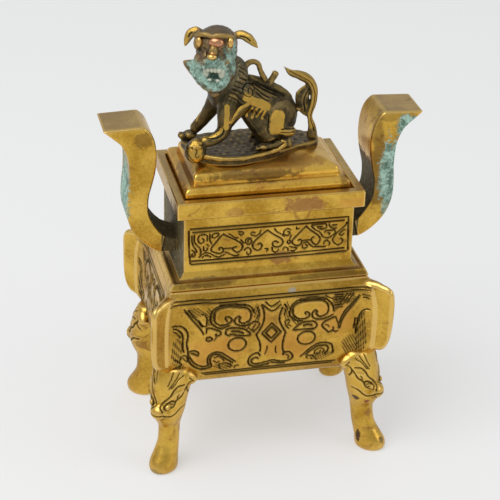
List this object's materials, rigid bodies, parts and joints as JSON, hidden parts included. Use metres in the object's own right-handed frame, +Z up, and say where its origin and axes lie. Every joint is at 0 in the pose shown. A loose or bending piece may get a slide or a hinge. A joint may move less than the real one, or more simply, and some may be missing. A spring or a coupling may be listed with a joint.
{
  "type": "lidded bronze censer",
  "caption": "Rectangular bronze censer on beast-headed legs, with upright handles and a loose lid topped by a guardian lion that rests a paw on a ball.",
  "frame": {"origin": "on the ground under the middle of the vessel, at the bottom centre of the bounding box", "axes": "+Z up, +X to the viewer's right along the long side, +Y away from the viewer, so -Y is the front"},
  "size_m": [0.1927, 0.112, 0.272],
  "materials": {
    "polished_brass": "polished, engraved lines darkened, verdigris in places",
    "dark_bronze": "dark brown patina, high spots rubbed to gold, verdigris on the face"
  },
  "bodies": {
    "root": {"vessel": "polished_brass", "leg_front_left": "polished_brass", "leg_front_right": "polished_brass", "leg_back_right": "polished_brass", "leg_back_left": "polished_brass", "handle_left": "polished_brass", "handle_right": "polished_brass", "lid": "polished_brass", "lion_finial": "dark_bronze"}
  },
  "joints": []
}
